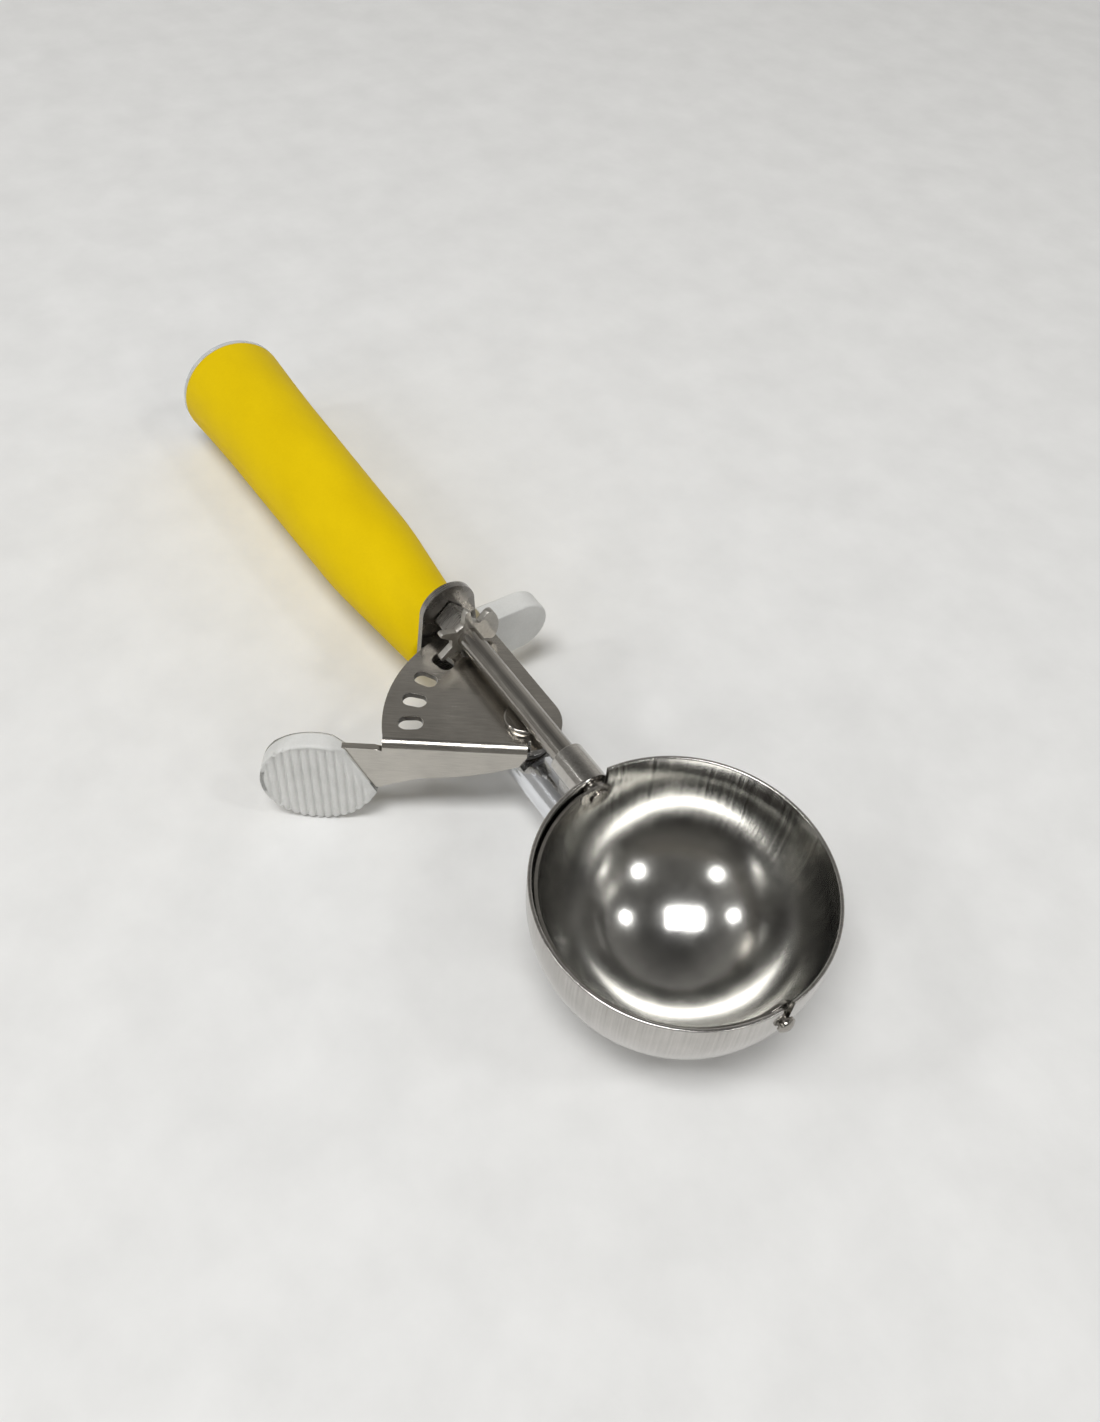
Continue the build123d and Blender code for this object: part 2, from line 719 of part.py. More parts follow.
size = [round(b - a, 2) for a, b in zip(low, high)]
spot = [round(v, 3) for v in (shift.X, shift.Y, shift.Z)]
print(f"overall {size} mm, moved by {spot}")
print(f"spindle axis at y {shift.Y:.3f}, z {axis_z + shift.Z:.3f}")
print(f"lever pivot at x {pivot_x + shift.X:.3f}, y {shift.Y:.3f}, plate top z {plate_top + shift.Z:.3f}")
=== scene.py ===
# %% [markdown]
# # A lever scoop with a yellow handle
# The solids of the scoop come in as a fixed frame: bowl, spindle, slotted lever, frame and handle, in metres.
# This lesson dresses that frame. The pieces that need a finer surface than the solids have are modelled again
# with mesh operators in the same place, and every piece gets a finish made of shader nodes.

# %% Load the solids and keep their box
import json
import math

import bmesh
import bpy
from mathutils import Matrix, Quaternion, Vector


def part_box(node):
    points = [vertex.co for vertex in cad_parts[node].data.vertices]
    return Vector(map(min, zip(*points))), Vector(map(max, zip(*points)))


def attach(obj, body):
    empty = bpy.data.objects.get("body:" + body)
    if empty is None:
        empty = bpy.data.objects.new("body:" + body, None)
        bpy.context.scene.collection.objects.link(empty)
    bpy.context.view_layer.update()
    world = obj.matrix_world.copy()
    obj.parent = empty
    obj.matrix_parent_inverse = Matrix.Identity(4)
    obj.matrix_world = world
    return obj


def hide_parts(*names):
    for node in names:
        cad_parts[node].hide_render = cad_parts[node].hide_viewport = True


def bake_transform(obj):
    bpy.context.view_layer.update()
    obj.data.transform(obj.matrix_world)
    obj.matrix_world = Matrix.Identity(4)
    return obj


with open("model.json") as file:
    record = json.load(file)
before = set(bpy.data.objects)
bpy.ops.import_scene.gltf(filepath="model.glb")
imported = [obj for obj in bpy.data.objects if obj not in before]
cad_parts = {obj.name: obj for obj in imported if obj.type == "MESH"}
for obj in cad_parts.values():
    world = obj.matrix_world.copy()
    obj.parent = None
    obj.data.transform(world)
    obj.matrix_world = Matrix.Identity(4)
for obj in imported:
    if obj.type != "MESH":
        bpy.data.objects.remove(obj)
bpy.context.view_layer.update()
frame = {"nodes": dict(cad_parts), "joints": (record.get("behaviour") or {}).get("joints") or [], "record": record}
nodes = frame["nodes"]

# %% [markdown]
# ## Where things are
# The joints say where the mechanism turns. The scraper's hinge passes through the middle of the bowl, and the
# lever's hinge stands at the pivot rivet. The mount on the butt gives the line of the handle.
# Reading these places from the frame keeps every new piece on its solid.

# %% Read the centres and axes
MM = 0.001
joints = {joint["name"]: joint for joint in frame["joints"]}
bowl_centre = Vector(joints["scraper_turn"]["pos_m"])
pivot = Vector(joints["thumb_lever_pivot"]["pos_m"])
butt_mount = frame["record"]["mounts"][0]
butt_face = Vector(butt_mount["pos_m"])
handle_line = -Vector(butt_mount["axis"]).normalized()
arm_turn = math.radians(55.2)
arm_line = Vector((-math.cos(arm_turn), -math.sin(arm_turn), 0))
arm_out = Vector((math.sin(arm_turn), -math.cos(arm_turn), 0))
print("bowl centre", bowl_centre, "pivot", pivot, "butt", butt_face)

# %% [markdown]
# ## The camera
# The picture was taken from the front and above, with a short lens. The camera stands where the rim's ellipse and
# the spindle's line put it, and its axes are written as the columns of a matrix. The sensor's 36 mm lie along the
# long side of the picture, so the lens in millimetres follows from the focal length in pixels.

# %% Set the camera
LONG_SIDE = 1422
FOCAL_PIXELS = 1225
eye = bowl_centre + Vector((74.99, -92.98, 193.46)) * MM
right = Vector((0.555551, 0.829394, 0.058897))
up = Vector((-0.666704, 0.402009, 0.627610))
back = Vector((0.496859, -0.387936, 0.776297))
camera_data = bpy.data.cameras.new("camera")
camera_data.sensor_width = 36
camera_data.lens = FOCAL_PIXELS * 36 / LONG_SIDE
camera_data.clip_start = 0.01
camera = bpy.data.objects.new("camera", camera_data)
turn = Matrix((right, up, back)).transposed()
camera.matrix_world = Matrix.Translation(eye) @ turn.to_4x4()
bpy.context.scene.collection.objects.link(camera)
bpy.context.scene.camera = camera
print("camera at", eye, "lens", round(camera_data.lens, 2), "mm")

# %% [markdown]
# ## Small helpers
# Every new piece goes the same way: a bmesh is shaped with operators, its doubles are merged and its normals made
# to point outwards, and then it becomes an object that rides on a body and stands for its plain solid.

# %% Helpers for pieces
def add_piece(bm, name, body, finishes, stands_for, crease_deg=32):
    """Make a bmesh into a smooth-shaded object on a body, in place of a plain solid."""
    bmesh.ops.remove_doubles(bm, verts=bm.verts, dist=1e-6)
    bmesh.ops.recalc_face_normals(bm, faces=bm.faces)
    mesh = bpy.data.meshes.new(name)
    bm.to_mesh(mesh)
    bm.free()
    mesh.shade_smooth()
    mesh.set_sharp_from_angle(angle=math.radians(crease_deg))
    for finish in finishes:
        mesh.materials.append(finish)
    piece = bpy.data.objects.new(name, mesh)
    bpy.context.scene.collection.objects.link(piece)
    if body:
        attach(piece, body)
    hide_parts(stands_for)
    print(name, "faces:", len(mesh.polygons))
    return piece


def keep_flat(piece):
    """Let the large faces set the normals, so that sheet shades flat up to its eased edges."""
    weigh = piece.modifiers.new("flat_faces", "WEIGHTED_NORMAL")
    weigh.weight = 100
    weigh.keep_sharp = True


def turned(points, start, line, rounding, steps=160):
    """Spin a profile of (way along the line, radius) points round the line; rounding gives each corner's radius."""
    bm = bmesh.new()
    side = line.cross(Vector((0, 1, 0))).normalized()
    rings = [bm.verts.new(start + line * along + side * radius) for along, radius in points]
    for a, b in zip(rings, rings[1:]):
        bm.edges.new((a, b))
    for corner, radius in zip(rings, rounding):
        if radius:
            bmesh.ops.bevel(
                bm, geom=[corner], offset=radius, offset_type="OFFSET", segments=8,
                profile=0.5, affect="VERTICES", material=-1,
            )
    bmesh.ops.spin(
        bm, geom=bm.verts[:] + bm.edges[:], cent=start, axis=line,
        angle=2 * math.pi, steps=steps, use_merge=True,
    )
    return bm


def eased_copy(node, ease, crease_deg=35):
    """Copy a solid's mesh, weld its triangles, clear the flat ones away and ease its sharp edges."""
    bm = bmesh.new()
    bm.from_mesh(nodes[node].data)
    bmesh.ops.remove_doubles(bm, verts=bm.verts, dist=2e-6)
    bmesh.ops.dissolve_limit(
        bm, angle_limit=math.radians(0.4), verts=bm.verts, edges=bm.edges,
        use_dissolve_boundaries=False, delimit=set(),
    )
    sharp = [
        edge for edge in bm.edges
        if len(edge.link_faces) == 2 and edge.calc_face_angle() > math.radians(crease_deg)
    ]
    bmesh.ops.bevel(
        bm, geom=sharp, offset=ease, offset_type="OFFSET", segments=2,
        profile=0.5, affect="EDGES", clamp_overlap=True, material=-1,
    )
    return bm


# %% [markdown]
# ## Helpers for finishes
# A finish is a Principled shader whose colour, roughness and bump come from noise. Stretching the noise along one
# direction turns it into brush lines; reading the angle round a centre turns it into lines that run up a bowl.

# %% Helpers for finishes
def new_finish(name, metallic=0.0):
    finish = bpy.data.materials.new(name)
    finish.use_nodes = True
    tree = finish.node_tree
    shader = tree.nodes["Principled BSDF"]
    shader.inputs["Metallic"].default_value = metallic
    return finish, tree, shader


def place(tree, scale, turn_deg=(0, 0, 0), centre=(0, 0, 0)):
    """Object coordinates, moved to a centre, turned and scaled."""
    where = tree.nodes.new("ShaderNodeTexCoord")
    shift = tree.nodes.new("ShaderNodeVectorMath")
    shift.operation = "SUBTRACT"
    shift.inputs[1].default_value = centre
    tree.links.new(where.outputs["Object"], shift.inputs[0])
    mapping = tree.nodes.new("ShaderNodeMapping")
    mapping.vector_type = "POINT"
    mapping.inputs["Rotation"].default_value = [math.radians(v) for v in turn_deg]
    tree.links.new(shift.outputs[0], mapping.inputs["Vector"])
    grow = tree.nodes.new("ShaderNodeVectorMath")
    grow.operation = "MULTIPLY"
    grow.inputs[1].default_value = scale
    tree.links.new(mapping.outputs["Vector"], grow.inputs[0])
    return grow.outputs[0]


def around(tree, centre, turns, climb):
    """Coordinates that change fast round an upright axis and slowly up it."""
    spot = place(tree, (1, 1, 1), centre=centre)
    parts = tree.nodes.new("ShaderNodeSeparateXYZ")
    tree.links.new(spot, parts.inputs[0])
    angle = tree.nodes.new("ShaderNodeMath")
    angle.operation = "ARCTAN2"
    tree.links.new(parts.outputs["Y"], angle.inputs[0])
    tree.links.new(parts.outputs["X"], angle.inputs[1])
    join = tree.nodes.new("ShaderNodeCombineXYZ")
    for value, factor, target in ((angle.outputs[0], turns, "X"), (parts.outputs["Z"], climb, "Y")):
        times = tree.nodes.new("ShaderNodeMath")
        times.operation = "MULTIPLY"
        times.inputs[1].default_value = factor
        tree.links.new(value, times.inputs[0])
        tree.links.new(times.outputs[0], join.inputs[target])
    return join.outputs[0]


def noise(tree, vector, scale=1.0, detail=4.0, roughness=0.55):
    texture = tree.nodes.new("ShaderNodeTexNoise")
    texture.inputs["Scale"].default_value = scale
    texture.inputs["Detail"].default_value = detail
    texture.inputs["Roughness"].default_value = roughness
    tree.links.new(vector, texture.inputs["Vector"])
    return texture.outputs[0]


def spread(tree, value, low, high, from_low=0.3, from_high=0.7):
    """Map the middle of a noise's range onto low and high."""
    ranged = tree.nodes.new("ShaderNodeMapRange")
    ranged.inputs["From Min"].default_value = from_low
    ranged.inputs["From Max"].default_value = from_high
    ranged.inputs["To Min"].default_value = low
    ranged.inputs["To Max"].default_value = high
    tree.links.new(value, ranged.inputs["Value"])
    return ranged.outputs["Result"]


def tint(tree, value, dark, pale, low=0.3, high=0.7):
    """A ramp from a dark to a pale colour."""
    ramp = tree.nodes.new("ShaderNodeValToRGB")
    ramp.color_ramp.elements[0].position = low
    ramp.color_ramp.elements[0].color = (*dark, 1)
    ramp.color_ramp.elements[1].position = high
    ramp.color_ramp.elements[1].color = (*pale, 1)
    tree.links.new(value, ramp.inputs["Fac"])
    return ramp.outputs["Color"]


def raise_lines(tree, shader, value, strength, distance):
    bump = tree.nodes.new("ShaderNodeBump")
    bump.inputs["Strength"].default_value = strength
    bump.inputs["Distance"].default_value = distance
    tree.links.new(value, bump.inputs["Height"])
    tree.links.new(bump.outputs["Normal"], shader.inputs["Normal"])


def mixed(tree, a, b, share):
    """Two noises added in shares, as one height or tone."""
    mix = tree.nodes.new("ShaderNodeMix")
    mix.inputs["Factor"].default_value = share
    tree.links.new(a, mix.inputs["A"])
    tree.links.new(b, mix.inputs["B"])
    return mix.outputs["Result"]


# %% [markdown]
# ## Steel finishes
# The sheet parts are half bright with fine brush lines along the blank they were cut from. The rods are drawn, so
# their lines run along them. The bowl is polished inside, where the lines show only towards the rim, and brushed
# upright outside.

# %% Brushed sheet and rods
def brushed(name, dark, pale, rough, stretch, turn_deg=(0, 0, 0), bump=0.12):
    finish, tree, shader = new_finish(name, metallic=1.0)
    lines = noise(tree, place(tree, stretch, turn_deg), detail=5, roughness=0.6)
    cloud = noise(tree, place(tree, (110, 110, 110)), detail=3)
    tone = mixed(tree, lines, cloud, 0.45)
    tree.links.new(tint(tree, tone, dark, pale), shader.inputs["Base Color"])
    tree.links.new(spread(tree, tone, *rough), shader.inputs["Roughness"])
    raise_lines(tree, shader, lines, bump, 0.00004)
    return finish


lever_steel = brushed(
    "lever_steel", (0.43, 0.41, 0.375), (0.62, 0.59, 0.54), (0.14, 0.28), (260, 4200, 4200), (0, 0, -55.2), 0.07
)
# Darker steel for the lever's cut walls: painted shade for walls that lie in shadow, partly also their darker cut
# finish.
edge_burnish_and_shade = brushed(
    "edge_burnish_and_shade", (0.10, 0.095, 0.088), (0.22, 0.21, 0.195), (0.30, 0.45), (1400, 1400, 300)
)
frame_steel = brushed(
    "frame_steel", (0.22, 0.21, 0.195), (0.38, 0.365, 0.34), (0.20, 0.34), (3600, 240, 240)
)
rod_steel = brushed(
    "rod_steel", (0.26, 0.245, 0.225), (0.46, 0.44, 0.405), (0.12, 0.24), (120, 3600, 3600)
)
bearing_steel = brushed(
    "bearing_steel", (0.44, 0.425, 0.40), (0.64, 0.62, 0.585), (0.12, 0.24), (2600, 2600, 300), bump=0.08
)
pinion_steel = brushed(
    "pinion_steel", (0.34, 0.325, 0.30), (0.54, 0.52, 0.48), (0.32, 0.46), (300, 1500, 1500), bump=0.02
)
spring_steel = brushed(
    "spring_steel", (0.10, 0.10, 0.10), (0.20, 0.195, 0.19), (0.25, 0.4), (1800, 1800, 1800)
)
shank_plate = brushed(
    "shank_plate", (0.72, 0.74, 0.78), (0.90, 0.92, 0.95), (0.08, 0.22), (110, 420, 420), bump=0.9
)
print("steel finishes ready")


# %% Bowl finishes
def bowl_finish(name, dark, pale, rough, turns, climb, bump, calm_below):
    """Steel with lines that run up the wall; they fade out below a height under the bowl's centre."""
    finish, tree, shader = new_finish(name, metallic=1.0)
    lines = noise(tree, around(tree, bowl_centre, turns, climb), detail=4, roughness=0.6)
    cloud = noise(tree, place(tree, (90, 90, 90)), detail=4)
    height = tree.nodes.new("ShaderNodeSeparateXYZ")
    tree.links.new(place(tree, (1, 1, 1), centre=bowl_centre), height.inputs[0])
    share = spread(tree, height.outputs["Z"], 0.04, 1, calm_below, 0.003)
    faded = tree.nodes.new("ShaderNodeMix")
    faded.inputs["A"].default_value = 0.5
    tree.links.new(share, faded.inputs["Factor"])
    tree.links.new(lines, faded.inputs["B"])
    streaks = faded.outputs["Result"]
    tone = mixed(tree, streaks, cloud, 0.4)
    tree.links.new(tint(tree, tone, dark, pale), shader.inputs["Base Color"])
    tree.links.new(spread(tree, tone, *rough), shader.inputs["Roughness"])
    raise_lines(tree, shader, streaks, bump, 0.0002)
    return finish


bowl_inside = bowl_finish(
    "bowl_inside", (0.32, 0.318, 0.312), (0.60, 0.59, 0.555), (0.06, 0.27), 34, 30, 0.24, -0.015
)
bowl_outside = bowl_finish(
    "bowl_outside", (0.36, 0.345, 0.325), (0.66, 0.64, 0.615), (0.12, 0.28), 48, 24, 0.22, -0.06
)
blade_steel = bowl_finish(
    "blade_steel", (0.34, 0.325, 0.30), (0.54, 0.52, 0.48), (0.12, 0.26), 40, 400, 0.06, -0.06
)
print("bowl finishes ready")

# %% [markdown]
# ## Plastic and vinyl finishes
# The handle is a satin moulding: one strong yellow with slow, faint mottling, and a grain too fine to see singly.
# The pads are dipped in soft vinyl, a pale grey that lets a little light in. The plug in the butt is milky.

# %% Handle, vinyl and plug
handle_yellow, tree, shader = new_finish("handle_yellow")
mottle = noise(tree, place(tree, (38, 70, 70)), detail=5)
grain = noise(tree, place(tree, (1500, 1500, 1500)), detail=2)
yellow = tint(tree, mixed(tree, mottle, grain, 0.2), (0.70, 0.49, 0.0012), (0.79, 0.565, 0.0018))
tree.links.new(yellow, shader.inputs["Base Color"])
tree.links.new(spread(tree, mottle, 0.5, 0.62), shader.inputs["Roughness"])
raise_lines(tree, shader, grain, 0.08, 0.00005)
shader.inputs["Specular IOR Level"].default_value = 0.06

pad_vinyl, tree, shader = new_finish("pad_vinyl")
mottle = noise(tree, place(tree, (160, 160, 160)), detail=5)
grain = noise(tree, place(tree, (2200, 2200, 2200)), detail=2)
tree.links.new(
    tint(tree, mixed(tree, mottle, grain, 0.3), (0.59, 0.592, 0.57), (0.70, 0.70, 0.68)), shader.inputs["Base Color"]
)
tree.links.new(spread(tree, mottle, 0.42, 0.6), shader.inputs["Roughness"])
raise_lines(tree, shader, mixed(tree, mottle, grain, 0.6), 0.15, 0.00006)
shader.inputs["Subsurface Weight"].default_value = 0.15
shader.inputs["Subsurface Radius"].default_value = (0.002, 0.002, 0.002)
shader.inputs["Subsurface Scale"].default_value = 1.0

plug_milky, tree, shader = new_finish("plug_milky")
mottle = noise(tree, place(tree, (120, 120, 120)), detail=4)
tree.links.new(tint(tree, mottle, (0.74, 0.77, 0.78), (0.84, 0.86, 0.86)), shader.inputs["Base Color"])
tree.links.new(spread(tree, mottle, 0.18, 0.3), shader.inputs["Roughness"])
shader.inputs["Transmission Weight"].default_value = 0.35
shader.inputs["Subsurface Weight"].default_value = 0.2
shader.inputs["Subsurface Radius"].default_value = (0.003, 0.003, 0.003)
shader.inputs["Subsurface Scale"].default_value = 1.0
print("plastic finishes ready")

# %% [markdown]
# ## The bowl
# A bowl that shines like a mirror shows every facet, so it is spun again with many steps. The wall is two arcs and
# two straight collars, joined over a rounded rim. Two notches are cut afterwards with a boolean: a wide one behind
# for the spindle and a narrow one in front for the pin.

# %% Spin the bowl
BOWL_RADIUS = 28.5 * MM
BOWL_WALL = 0.8 * MM
COLLAR = 5.3 * MM
bm = bmesh.new()
ends = []
for radius in (BOWL_RADIUS, BOWL_RADIUS - BOWL_WALL):
    low = bm.verts.new(bowl_centre - Vector((0, 0, radius)))
    swept = bmesh.ops.spin(
        bm, geom=[low], cent=bowl_centre, axis=(0, -1, 0), angle=math.pi / 2, steps=56, use_merge=False
    )
    brim = [item for item in swept["geom_last"] if isinstance(item, bmesh.types.BMVert)][0]
    lift = bmesh.ops.extrude_vert_indiv(bm, verts=[brim])["verts"]
    bmesh.ops.translate(bm, verts=lift, vec=(0, 0, COLLAR))
    ends += lift
bm.edges.new(ends)
bmesh.ops.bevel(
    bm, geom=ends, offset=0.38 * BOWL_WALL, offset_type="OFFSET", segments=5,
    profile=0.5, affect="VERTICES", material=-1,
)
bmesh.ops.spin(
    bm, geom=bm.verts[:] + bm.edges[:], cent=bowl_centre, axis=(0, 0, 1),
    angle=2 * math.pi, steps=224, use_merge=True,
)
bowl = add_piece(bm, "bowl_spun", "frame", [bowl_outside, bowl_inside], "bowl")


# %% Cut the notches
def notch_cutter(name, half_width, start_x):
    """A U-shaped bar through the wall: a round bottom on the spindle's line and straight sides up past the rim."""
    bm = bmesh.new()
    foot = bowl_centre + Vector((start_x, 0, 0))
    first = bm.verts.new(foot + Vector((0, -half_width, 2 * COLLAR)))
    down = bm.verts.new(foot + Vector((0, -half_width, 0)))
    bm.edges.new((first, down))
    swept = bmesh.ops.spin(bm, geom=[down], cent=foot, axis=(1, 0, 0), angle=math.pi, steps=24, use_merge=False)
    last = [item for item in swept["geom_last"] if isinstance(item, bmesh.types.BMVert)][0]
    top = bmesh.ops.extrude_vert_indiv(bm, verts=[last])["verts"]
    bmesh.ops.translate(bm, verts=top, vec=(0, 0, 2 * COLLAR))
    bm.edges.new((top[0], first))
    face = bmesh.ops.contextual_create(bm, geom=bm.edges[:])["faces"]
    pushed = bmesh.ops.extrude_face_region(bm, geom=face)["geom"]
    bmesh.ops.translate(
        bm, verts=[item for item in pushed if isinstance(item, bmesh.types.BMVert)], vec=(BOWL_RADIUS / 2, 0, 0)
    )
    bmesh.ops.recalc_face_normals(bm, faces=bm.faces)
    mesh = bpy.data.meshes.new(name)
    bm.to_mesh(mesh)
    bm.free()
    cutter = bpy.data.objects.new(name, mesh)
    bpy.context.scene.collection.objects.link(cutter)
    return cutter


notches = (("back_notch", 2.8 * MM, -1.2 * BOWL_RADIUS), ("front_notch", 1.26 * MM, 0.7 * BOWL_RADIUS))
for name, half_width, start_x in notches:
    cutter = notch_cutter(name, half_width, start_x)
    cut = bowl.modifiers.new(name, "BOOLEAN")
    cut.object = cutter
    cut.operation = "DIFFERENCE"
    cut.solver = "EXACT"
    bpy.context.view_layer.update()
    result = bpy.data.meshes.new_from_object(bowl.evaluated_get(bpy.context.evaluated_depsgraph_get()))
    bowl.modifiers.remove(cut)
    bowl.data = result
    bpy.data.objects.remove(cutter)
for face in bowl.data.polygons:
    face.material_index = 1 if (bowl_centre - face.center).dot(face.normal) > 0.3 * BOWL_RADIUS else 0
bowl.data.shade_smooth()
bowl.data.set_sharp_from_angle(angle=math.radians(28))
print("bowl faces after the notches:", len(bowl.data.polygons))

# %% [markdown]
# ## Handle and plug
# The handle is a turned shape: a short cone at the front, a long slow taper and a slightly wider butt. Vertex bevels
# on the profile soften the changes of taper before the profile is spun. The plug closes the butt.

# %% Turn the handle and the plug
CAP = 1.5 * MM
grip_start = butt_face + handle_line * CAP
profile = [
    (0, 8.05), (0, 13.9), (19.5, 12.9), (77.5, 11.7), (111.5, 8.2), (111.5, 4.2), (108, 4.2),
]
bm = turned(
    [(along * MM, radius * MM) for along, radius in profile], grip_start, handle_line,
    [0, 0.7 * MM, 5 * MM, 4 * MM, 1.4 * MM, 0, 0], steps=192,
)
add_piece(bm, "handle_turned", "frame", [handle_yellow], "handle_grip", crease_deg=50)

profile = [(0, 0), (0, 13.8), (1.5, 13.8), (1.5, 8.0), (8.4, 8.0), (8.4, 0)]
bm = turned(
    [(along * MM, radius * MM) for along, radius in profile], butt_face, handle_line,
    [0, 0.7 * MM, 0.2 * MM, 0, 0.5 * MM, 0], steps=160,
)
add_piece(bm, "butt_plug", "frame", [plug_milky], "handle_end_cap", crease_deg=50)

# %% [markdown]
# ## The thumb pad
# The pad is a vinyl cap on the end of the arm, round but drawn out to a corner where its slanting mouth meets the
# arm's lower edge. A fine grid is bent into that outline, extruded to its thickness and rounded at the edge. The mouth
# is cut with a plane, the lip thins towards it, and soft upright ribs are pressed into the outer face.

# %% Find the pad's place on the leaning arm
PAD_RADIUS = 11.7 * MM
PAD_THICK = 4.4 * MM
lean = math.radians(3.3)
arm_face = arm_out * math.cos(lean) + Vector((0, 0, math.sin(lean)))
arm_up = arm_line.cross(arm_face)
bend_line = pivot + arm_out * 5.9 * MM - Vector((0, 0, 2.2 * MM))
pad_middle = bend_line + arm_line * 42.4 * MM - arm_up * 9.75 * MM + arm_face * 1.45 * MM
to_pad = Matrix.Translation(pad_middle) @ Matrix((arm_line, arm_up, arm_face)).transposed().to_4x4()
print("pad middle", pad_middle)

# %% Model the thumb pad
CORNER = math.radians(194.5)
CORNER_HALF = math.radians(24.5)
bm = bmesh.new()
bmesh.ops.create_grid(bm, x_segments=240, y_segments=60, size=1)
for vert in bm.verts:
    x, y = vert.co.x, vert.co.y
    disc = Vector((x * math.sqrt(1 - y * y / 2), y * math.sqrt(1 - x * x / 2)))
    off = abs((math.atan2(disc.y, disc.x) - CORNER + math.pi) % (2 * math.pi) - math.pi)
    drawn = 1 / math.cos(CORNER_HALF - off) if off < CORNER_HALF else 1
    disc *= PAD_RADIUS * (1 + (drawn - 1) * disc.length_squared)
    vert.co = (disc.x, disc.y, -PAD_THICK / 2)
pushed = bmesh.ops.extrude_face_region(bm, geom=bm.faces[:], use_keep_orig=True)["geom"]
bmesh.ops.translate(
    bm, verts=[item for item in pushed if isinstance(item, bmesh.types.BMVert)], vec=(0, 0, PAD_THICK)
)
bmesh.ops.recalc_face_normals(bm, faces=bm.faces)
brim = [
    edge for edge in bm.edges
    if len(edge.link_faces) == 2 and edge.calc_face_angle() > math.radians(60)
]
bmesh.ops.bevel(
    bm, geom=brim, offset=0.9 * MM, offset_type="OFFSET", segments=5, profile=0.5, affect="EDGES", material=-1
)
print("pad verts:", len(bm.verts))

# %% Cut its mouth and press the ribs
slant = math.radians(25)
mouth_out = Vector((-math.cos(slant), math.sin(slant), 0))
mouth_at = Vector((-10.9 * MM, 0, 0))
bmesh.ops.bisect_plane(
    bm, geom=bm.verts[:] + bm.edges[:] + bm.faces[:], dist=1e-7,
    plane_co=mouth_at, plane_no=mouth_out, clear_outer=True,
)
bmesh.ops.holes_fill(bm, edges=[edge for edge in bm.edges if edge.is_boundary], sides=0)


def rise(value, low, high):
    """Smooth step from 0 at low to 1 at high."""
    share = max(0.0, min(1.0, (value - low) / (high - low)))
    return share * share * (3 - 2 * share)


RIB_PITCH = 1.76 * MM
RIB_DEPTH = 0.42 * MM
for vert in bm.verts:
    inside = (mouth_at - vert.co).dot(mouth_out)
    front = vert.co.z > 0.5 * PAD_THICK - 0.8 * MM
    vert.co.z *= 0.56 + 0.44 * rise(inside, 0, 2.4 * MM)
    if front:
        phase = vert.co.x / RIB_PITCH % 1 - 0.5
        groove = math.exp(-((phase / 0.19) ** 2))
        ends = rise(10.4 * MM - vert.co.x, 0, 1.4 * MM) * rise(inside, 0.6 * MM, 2.6 * MM)
        top = 1 - rise(vert.co.y, 9.4 * MM, 11.2 * MM)
        vert.co.z -= RIB_DEPTH * groove * ends * top
bm.transform(to_pad)
add_piece(bm, "thumb_pad_ribbed", "lever", [pad_vinyl], "thumb_pad", crease_deg=40)

# %% [markdown]
# ## The finger rest's cover
# The cover is a short tongue of the same vinyl, round at its outer end and cut straight where it stops on the wing.
# A circle with one half pulled sideways gives the outline; extruding and rounding give the tongue.

# %% Model the cover
cover_low, cover_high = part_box("finger_rest_cover")
half = (cover_high.z - cover_low.z) / 2
middle = Vector((cover_high.x, cover_high.y - half, cover_low.z + half))
pull = middle.y - cover_low.y
bm = bmesh.new()
bmesh.ops.create_circle(bm, cap_ends=False, segments=96, radius=half)
for vert in bm.verts:
    vert.co = Vector((0, vert.co.x, vert.co.y))
for vert in bm.verts:
    if vert.co.y < -1e-6:
        vert.co.y = -pull
bmesh.ops.translate(bm, verts=bm.verts, vec=middle)
face = bmesh.ops.contextual_create(bm, geom=bm.edges[:])["faces"]
pushed = bmesh.ops.extrude_face_region(bm, geom=face)["geom"]
bmesh.ops.translate(
    bm, verts=[item for item in pushed if isinstance(item, bmesh.types.BMVert)],
    vec=(cover_low.x - cover_high.x, 0, 0),
)
bmesh.ops.recalc_face_normals(bm, faces=bm.faces)
bmesh.ops.remove_doubles(bm, verts=bm.verts, dist=1e-6)
brim = [
    edge for edge in bm.edges
    if len(edge.link_faces) == 2 and edge.calc_face_angle() > math.radians(60)
    and (edge.verts[0].co.y + edge.verts[1].co.y) / 2 > cover_low.y + 1e-5
]
bmesh.ops.bevel(
    bm, geom=brim, offset=0.6 * MM, offset_type="OFFSET", segments=4, profile=0.5, affect="EDGES", material=-1
)
add_piece(bm, "finger_cover", "frame", [pad_vinyl], "finger_rest_cover", crease_deg=40)

# %% [markdown]
# ## The return spring
# A wire is a circle that travels: straight along the lower leg, round the bush while it climbs, and straight again
# to the lever's arm. A spin with a small step upwards makes the turns. In the scoop the lower leg stays with the frame
# and the upper one goes with the lever; here the piece is left in place on no body.

# %% Wind the spring
WIRE = 0.45 * MM
COIL = 5.75 * MM
PITCH = 1.4 * MM
spring_low, spring_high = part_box("return_spring")
coil_bottom = spring_low.z + WIRE
coil_deg = 2 * 360 + 55.2
steps = 96
bm = bmesh.new()
leg_end = Vector((pivot.x - COIL, pivot.y + 4.45 * MM, coil_bottom))
bmesh.ops.create_circle(
    bm, cap_ends=True, segments=12, radius=WIRE,
    matrix=Matrix.Translation(leg_end) @ Matrix.Rotation(math.pi / 2, 4, "X"),
)


